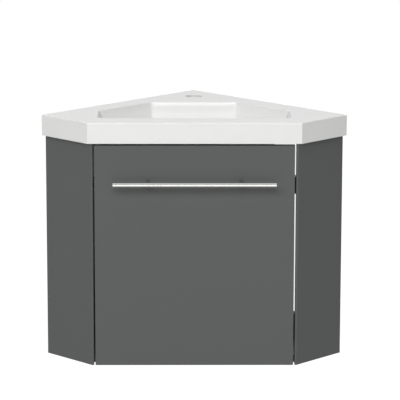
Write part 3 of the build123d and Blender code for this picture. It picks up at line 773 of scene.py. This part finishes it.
class VANITY_OT_side_boards(bpy.types.Operator):
    """Both side boards, square to their walls, with the band under each"""

    bl_idname = "vanity.side_boards"
    bl_label = "Side boards"

    def execute(self, context):
        boards = context.scene.vanity_boards
        facing = melamine_board("Anthracite melamine, sides", boards.colour, boards)
        core = raw_chipboard(boards)
        band = abs_edge_band(boards.colour)
        arris = boards.edge_round * BAND_ARRIS
        foot = side_band_low.z
        for side, word in ((-1, "left"), (1, "right")):
            outline = side_board_outline(side, boards)
            bm = bmesh.new()
            prism(bm, outline, (side_low.z, 0), (side_high.z, 0))
            bmesh.ops.recalc_face_normals(bm, faces=bm.faces)
            for face in bm.faces:
                toward_wall = -face.normal.dot(OFF_WALL[side])
                face.material_index = 1 if max(toward_wall, face.normal.z) > SQUARE_ON else 0
            finish_piece(
                f"{word}_side_board", bm, CABINET_BODY, [facing, core],
                [f"side_panel_{word}"],
            )
            bm = bmesh.new()
            prism(
                bm, outline, (foot, arris), (foot + HALF_ROUND * arris, HALF_ROUND * arris),
                (foot + arris, 0), (side_low.z, 0),
            )
            finish_piece(f"{word}_side_band", bm, CABINET_BODY, [band])
        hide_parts("side_panel_edge_bands")
        return {"FINISHED"}


class VANITY_OT_inner_boards(bpy.types.Operator):
    """Bottom panel with its front band, back panel, hanging rail and the two rear rails"""

    bl_idname = "vanity.inner_boards"
    bl_label = "Inner boards"

    def execute(self, context):
        boards = context.scene.vanity_boards
        lying = melamine_board("Anthracite melamine, lying board", boards.colour, boards, UP)
        left = melamine_board("Anthracite melamine, left wall", boards.colour, boards, OFF_WALL[-1])
        banded = melamine_board("Anthracite melamine, rails", boards.colour, boards)
        pale = melamine_board("White melamine, left wall", boards.rail_colour, boards, OFF_WALL[-1])
        dress("bottom_panel", lying)
        dress("back_panel_left", left)
        dress("rear_rail_upper", banded)
        dress("rear_rail_lower", banded)
        dress("hanging_rail_left", pale)
        dress("bottom_panel_edge_band", abs_edge_band(boards.colour))
        return {"FINISHED"}


class VANITY_OT_door(bpy.types.Operator):
    """Door leaf, and the band round its four edges with rounded arrises"""

    bl_idname = "vanity.door"
    bl_label = "Door"

    def execute(self, context):
        boards = context.scene.vanity_boards
        dress("door_panel", melamine_board(
            "Anthracite melamine, door", boards.colour, boards,
        ))
        thickness = leaf_low.x - door_low.x
        radius = min(boards.edge_round, thickness * BAND_ROUND)
        turns = turn_steps(pi / 2, 4)
        arc = [(radius * (1 - sine), radius * (1 - cosine)) for sine, cosine in turns]
        profile = [(0.0, door_low.y)]
        profile += [(thickness - inward, door_low.y + back) for inward, back in arc]
        profile += [(thickness - inward, door_high.y - back) for back, inward in arc]
        profile.append((0.0, door_high.y))
        corners = [
            Vector((leaf_low.x, leaf_low.z)),
            Vector((leaf_high.x, leaf_low.z)),
            Vector((leaf_high.x, leaf_high.z)),
            Vector((leaf_low.x, leaf_high.z)),
        ]
        bm = bmesh.new()
        rings = []
        for outward, depth in profile:
            ring = inset_corners(corners, -outward)
            rings.append(add_ring(bm, [(x, depth, z) for x, z in ring]))
        bridge(bm, *rings, rings[0])
        finish_piece(
            "door_band", bm, DOOR_BODY, [abs_edge_band(boards.colour)],
            ["door_edge_bands"],
        )
        return {"FINISHED"}


def turn_on(bm, foot, axis, profile, steps=48):
    """Open turned skin, from (distance along the axis, radius) pairs. Returns its rings."""
    across = axis.orthogonal().normalized()
    beside = axis.cross(across)
    spokes = [across * x + beside * y for y, x in turn_steps(2 * pi, steps)[:-1]]
    rings = [
        add_ring(bm, [foot + axis * along + spoke * radius for spoke in spokes])
        for along, radius in profile
    ]
    bridge(bm, *rings)
    return rings


def solids(node):
    """Points of each separate solid in a construction node, from left to right."""
    bm = bmesh.new()
    bm.from_mesh(frame["nodes"][node].data)
    bmesh.ops.remove_doubles(bm, verts=bm.verts, dist=SAME_PLACE)
    found = []
    rest = set(bm.verts)
    while rest:
        joined = [rest.pop()]
        for vertex in joined:
            beside = {edge.other_vert(vertex) for edge in vertex.link_edges} & rest
            rest -= beside
            joined += beside
        found.append(sorted(vertex.co.to_tuple() for vertex in joined))
    bm.free()
    return sorted(found, key=lambda points: [round(value, 5) for value in points[0]])


class VANITY_OT_bar_handle(bpy.types.Operator):
    """Round bar with softened ends, on two posts that are shaped to it"""

    bl_idname = "vanity.bar_handle"
    bl_label = "Bar handle"

    def execute(self, context):
        sizes = context.scene.vanity_handle
        steel = ground_stainless_steel(sizes.colour)
        radius = (rod_high.z - rod_low.z) / 2
        middle = (rod_low + rod_high) / 2
        length = rod_high.x - rod_low.x
        ends = [
            (sizes.end_round * (1 - cosine), radius - sizes.end_round * (1 - sine))
            for sine, cosine in turn_steps(pi / 2, 4)
        ]
        profile = ends + [(length - along, size) for along, size in reversed(ends)]
        bm = bmesh.new()
        start = Vector((rod_low.x, middle.y, middle.z))
        rings = turn_on(bm, start, Vector((1, 0, 0)), profile, steps=64)
        cap(bm, rings[0])
        cap(bm, rings[-1])
        finish_piece("handle_bar", bm, DOOR_BODY, [steel], ["handle_rod"])

        for word, points in zip(("left", "right"), solids("handle_posts")):
            low, high = extent(points)
            post = (high.x - low.x) / 2
            foot = Vector(((low.x + high.x) / 2, high.y, middle.z))
            reach = high.y - middle.y
            relief = sizes.foot_relief
            profile = [(0.0, post - relief), (relief, post), (reach / 2, post), (reach, post)]
            bm = bmesh.new()
            rings = turn_on(bm, foot, Vector((0, -1, 0)), profile)
            for vertex in rings[-1]:
                rise = min(abs(vertex.co.z - middle.z), radius)
                vertex.co.y = middle.y + sqrt(radius**2 - rise**2)
            cap(bm, rings[0])
            finish_piece(f"handle_post_{word}", bm, DOOR_BODY, [steel])
        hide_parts("handle_posts")
        return {"FINISHED"}


def turned_axis(points):
    """A screw's foot, axis and length, where its head starts, and its shank's and head's radius."""
    cloud = np.array(points)
    centre = (cloud.min(0) + cloud.max(0)) / 2
    from_mean = cloud - cloud.mean(0)
    values, vectors = np.linalg.eigh(np.cov(from_mean.T))
    alone = 2 if values[2] - values[1] > values[1] - values[0] else 0
    axis = vectors[:, alone]
    along = (cloud - centre) @ axis
    across = np.linalg.norm((cloud - centre) - np.outer(along, axis), axis=1)
    if along[across.argmax()] < (along.min() + along.max()) / 2:
        axis = -axis
        along = -along
    tip_zone = along.min() + 0.1 * MM
    shank = across[along < tip_zone].max()
    wider_than_shank = 1.2 * shank
    head_start = along[across > wider_than_shank].min()
    radial = from_mean - np.outer(from_mean @ axis, axis)
    middle = cloud.mean(0) + (radial.min(0) + radial.max(0)) / 2
    foot = Vector(middle + axis * (along.min() - (middle - centre) @ axis))
    length = along.max() - along.min()
    return foot, Vector(axis), length, head_start - along.min(), shank, across.max()


def cross_outline(reach, width):
    """Corners of a cross recess, from its middle."""
    half = width / 2
    corner = [(reach, -half), (reach, half), (half, half)]
    points = []
    for quarter in range(4):
        turn = Matrix.Rotation(pi / 2 * quarter, 2)
        points += [turn @ Vector(point) for point in corner]
    return points


def pan_head_screw(bm, points, recess_share):
    """Screw with a low domed head and a cross recess, where the construction model has it."""
    foot, axis, length, head_start, shank, head = turned_axis(points)
    height = length - head_start
    profile = [
        (0.0, shank * SCREW_TIP),
        (shank, shank),
        (head_start, shank),
        (head_start, head * HEAD_UNDERSIDE),
        (head_start + height * HEAD_RIM, head),
    ]
    for sine, cosine in turn_steps(CROWN_TURN, 4)[1:]:
        rise = HEAD_RIM + (1 - HEAD_RIM) * sine / sin(CROWN_TURN)
        radius = head * (CROWN_FLAT + (1 - CROWN_FLAT) * cosine)
        profile.append((head_start + height * rise, radius))
    rings = turn_on(bm, foot, axis, profile, steps=36)
    cap(bm, rings[0])
    across = axis.orthogonal().normalized()
    beside = axis.cross(across)
    top = foot + axis * profile[-1][0]
    reach = min(head * recess_share, profile[-1][1] * RECESS_LIMIT)
    recess = []
    for depth, share, width in ((0.0, 1.0, MOUTH_WIDTH), (PIT_DEPTH, PIT_REACH, PIT_WIDTH)):
        outline = cross_outline(reach * share, reach * width)
        middle = top - axis * height * depth
        recess.append(add_ring(bm, [middle + across * x + beside * y for x, y in outline]))
    bridge(bm, *recess)
    cap(bm, rings[-1], recess[0])
    cap(bm, recess[1])


class VANITY_OT_screws(bpy.types.Operator):
    """All screws, with pan heads and cross recesses"""

    bl_idname = "vanity.screws"
    bl_label = "Screws"

    def execute(self, context):
        fittings = context.scene.vanity_fittings
        nickel = nickel_plated_steel(fittings.nickel)
        zinc = zinc_plated_steel(fittings.zinc)
        for node, slot, material, body in (
            ("handle_screws", "nickel_steel", nickel, DOOR_BODY),
            ("hinge_cup_screws", "nickel_steel", nickel, DOOR_BODY),
            ("hinge_plate_screws", "nickel_steel", nickel, CABINET_BODY),
            ("hinge_arm_screws", "nickel_steel", nickel, CABINET_BODY),
            ("bracket_screws", "zinc_steel", zinc, CABINET_BODY),
        ):
            bm = bmesh.new()
            for points in solids(node):
                pan_head_screw(bm, points, fittings.recess_share)
            finish_piece(f"{node}_detailed", bm, body, [material], [node])
        return {"FINISHED"}


class VANITY_OT_hinges(bpy.types.Operator):
    """Hinge cups, arms, mounting plates and pins"""

    bl_idname = "vanity.hinges"
    bl_label = "Hinges"

    def execute(self, context):
        fittings = context.scene.vanity_fittings
        nickel = nickel_plated_steel(fittings.nickel)
        for node in ("hinge_cups", "hinge_arms", "hinge_mounting_plates"):
            dress(node, nickel, fittings.press_round)
        dress("hinge_pins", nickel)
        return {"FINISHED"}


class VANITY_OT_joinery(bpy.types.Operator):
    """Dowels, cams and their bolts, and the brackets under the basin"""

    bl_idname = "vanity.joinery"
    bl_label = "Joinery"

    def execute(self, context):
        fittings = context.scene.vanity_fittings
        zinc = zinc_plated_steel(fittings.zinc)
        dress("dowels", turned_beech(fittings.beech))
        dress("cam_housings", die_cast_zinc(fittings.cast_zinc))
        dress("cam_bolts", zinc)
        dress("basin_brackets", zinc, fittings.press_round)
        return {"FINISHED"}


class VANITY_OT_door_stops(bpy.types.Operator):
    """Soft clear stops with a domed face, on the bottom panel's front edge"""

    bl_idname = "vanity.door_stops"
    bl_label = "Door stops"

    def execute(self, context):
        fittings = context.scene.vanity_fittings
        bm = bmesh.new()
        for points in solids("door_stops"):
            low, high = extent(points)
            radius = (high.x - low.x) / 2
            height = high.y - low.y
            foot = Vector(((low.x + high.x) / 2, high.y, (low.z + high.z) / 2))
            profile = [(0.0, radius * STOP_FOOT), (STOP_RIM * height, radius)]
            for sine, cosine in turn_steps(DOME_TURN, 7)[1:]:
                rise = STOP_RIM + (1 - STOP_RIM) * sine / sin(DOME_TURN)
                profile.append((height * rise, radius * cosine ** DOME_POWER))
            rings = turn_on(bm, foot, Vector((0, -1, 0)), profile)
            cap(bm, rings[0])
            cap(bm, rings[-1])
        finish_piece(
            "soft_stops", bm, CABINET_BODY, [clear_polyurethane(fittings.stop)],
            ["door_stops"],
        )
        return {"FINISHED"}


def seen_directly(tree):
    """1 on rays from the camera, from gloss and through clear parts, and 0 on all others."""
    path = add_node(tree, "ShaderNodeLightPath")
    either = add_node(tree, "ShaderNodeMath", {
        0: path.outputs["Is Camera Ray"], 1: path.outputs["Is Glossy Ray"],
    }, operation="MAXIMUM")
    return add_node(tree, "ShaderNodeMath", {
        0: either.outputs[0], 1: path.outputs["Is Transmission Ray"],
    }, operation="MAXIMUM").outputs[0]


def pale_floor(colour):
    """Smooth pale floor that fades to white before the camera and keeps the object's shadow."""
    material, tree, place = bare_material("Pale floor")
    clouds = add_node(tree, "ShaderNodeTexNoise", {
        "Vector": place, "Scale": per_metre(500.0), "Detail": 2.0,
    })
    darker, lighter = shifted(colour, 0.99, 1.01)
    tone = add_node(tree, "ShaderNodeMix", {
        0: clouds.outputs["Fac"], 6: darker, 7: lighter,
    }, data_type="RGBA")
    matt = add_node(tree, "ShaderNodeBsdfDiffuse", {"Color": tone.outputs[2]})
    white = add_node(tree, "ShaderNodeEmission", {
        "Color": (1, 1, 1, 1), "Strength": FADE_STRENGTH,
    })
    share = add_node(tree, "ShaderNodeMath", {
        0: seen_directly(tree), 1: FADE_SHARE,
    }, operation="MULTIPLY")
    blend = add_node(tree, "ShaderNodeMixShader", {
        0: share.outputs[0], 1: matt.outputs[0], 2: white.outputs[0],
    })
    add_node(tree, "ShaderNodeOutputMaterial", {"Surface": blend.outputs[0]})
    return material


def add_lamp(name, place, target, size, power, in_gloss=True):
    """Soft lamp, a width by a height, that faces a target. Polished parts mirror it or not."""
    lamp = bpy.data.lights.new(name, "AREA")
    lamp.shape = "RECTANGLE"
    lamp.size, lamp.size_y = size
    lamp.energy = power
    holder = add_object(name, lamp)
    holder.location = place
    holder.visible_glossy = in_gloss
    holder.rotation_euler = (Vector(target) - Vector(place)).to_track_quat("-Z", "Y").to_euler()
    return holder


def light_handle(lamp, state):
    """Keeps a lamp's light off the handle, or on the handle alone."""
    pieces = bpy.data.collections.new(f"{lamp.name} on the handle")
    for name in ("handle_bar", "handle_post_left", "handle_post_right"):
        pieces.objects.link(bpy.data.objects[name])
    for piece in pieces.collection_objects:
        piece.light_linking.link_state = state
    lamp.light_linking.receiver_collection = pieces


class VANITY_OT_stage(bpy.types.Operator):
    """Camera, floor, lamps and the white surround"""

    bl_idname = "vanity.stage"
    bl_label = "Stage"

    def execute(self, context):
        stage = context.scene.vanity_stage
        camera = add_object("Camera", bpy.data.cameras.new("Camera"))
        camera.data.lens = stage.lens
        camera.location = stage.camera_place
        aim = Euler((pi / 2 - stage.camera_pitch, 0, -stage.camera_yaw)).to_matrix()
        camera.rotation_euler = (aim @ Matrix.Rotation(stage.camera_roll, 3, "Z")).to_euler()
        context.scene.camera = camera
        context.scene.view_settings.view_transform = "Standard"

        world = bpy.data.worlds.new("White surround")
        context.scene.world = world
        world.use_nodes = True
        tree = world.node_tree
        tree.nodes.clear()
        strength = add_node(tree, "ShaderNodeMix", {
            0: seen_directly(tree), 2: stage.ambient, 3: 1.0,
        })
        light = add_node(tree, "ShaderNodeBackground", {
            "Color": (1, 1, 1, 1), "Strength": strength.outputs[0],
        })
        add_node(tree, "ShaderNodeOutputWorld", {"Surface": light.outputs[0]})

        reach = 6.0
        bm = bmesh.new()
        corners = [(-reach, -reach), (reach, -reach), (reach, reach), (-reach, reach)]
        bm.faces.new(plan_ring(bm, corners, basin_high.z - stage.rim_over_floor))
        floor = add_mesh("Floor", bm, [pale_floor(stage.floor_colour)])

        target = (0, basin_low.y / 2, basin_high.z / 2)
        front = add_lamp("Front lamp", (-0.95, -5.6, 3.4), target, (4.8, 2.3), stage.key_power)
        add_lamp(
            "Low lamp", (-0.2, -4.2, -0.02), target, (2.6, 0.35), stage.low_power, in_gloss=False,
        )
        strip = add_lamp("Strip lamp", (0, -4.2, -0.02), target, (1.2, 0.35), stage.strip_power)
        top = add_lamp("Top lamp", (0, -0.76, 2.8), target, (2.6, 2.0), stage.top_power)
        add_lamp("Back lamp", (0, 3.6, 2.4), target, (3.6, 1.6), stage.back_power)
        # The front and top lamps leave out the handle, and the strip draws its one highlight
        light_handle(front, "EXCLUDE")
        light_handle(top, "EXCLUDE")
        light_handle(strip, "INCLUDE")
        return {"FINISHED"}


class VANITY_PT_parts(bpy.types.Panel):
    """Parts of the vanity, in the sidebar of the 3D view"""

    bl_idname = "VANITY_PT_parts"
    bl_label = "Corner Vanity"
    bl_space_type = "VIEW_3D"
    bl_region_type = "UI"
    bl_category = "Vanity"

    def draw(self, context):
        for operator in OPERATORS:
            self.layout.operator(operator.bl_idname)
        for word, group in SETTINGS.items():
            box = self.layout.box()
            settings = getattr(context.scene, word)
            for name in group.__annotations__:
                box.prop(settings, name)


SETTINGS = {
    "vanity_basin": VanityBasin,
    "vanity_boards": VanityBoards,
    "vanity_handle": VanityHandle,
    "vanity_fittings": VanityFittings,
    "vanity_stage": VanityStage,
}
OPERATORS = (
    VANITY_OT_stage,
    VANITY_OT_basin,
    VANITY_OT_side_boards,
    VANITY_OT_inner_boards,
    VANITY_OT_door,
    VANITY_OT_bar_handle,
    VANITY_OT_hinges,
    VANITY_OT_screws,
    VANITY_OT_joinery,
    VANITY_OT_door_stops,
)


def register():
    for kind in (*SETTINGS.values(), *OPERATORS, VANITY_PT_parts):
        bpy.utils.register_class(kind)
    for word, group in SETTINGS.items():
        setattr(bpy.types.Scene, word, PointerProperty(type=group))


def unregister():
    for word in SETTINGS:
        delattr(bpy.types.Scene, word)
    for kind in reversed((*SETTINGS.values(), *OPERATORS, VANITY_PT_parts)):
        bpy.utils.unregister_class(kind)


def main():
    register()
    bpy.ops.vanity.basin()
    bpy.ops.vanity.side_boards()
    bpy.ops.vanity.inner_boards()
    bpy.ops.vanity.door()
    bpy.ops.vanity.bar_handle()
    bpy.ops.vanity.hinges()
    bpy.ops.vanity.screws()
    bpy.ops.vanity.joinery()
    bpy.ops.vanity.door_stops()
    bpy.ops.vanity.stage()


if __name__ == "__main__":
    main()
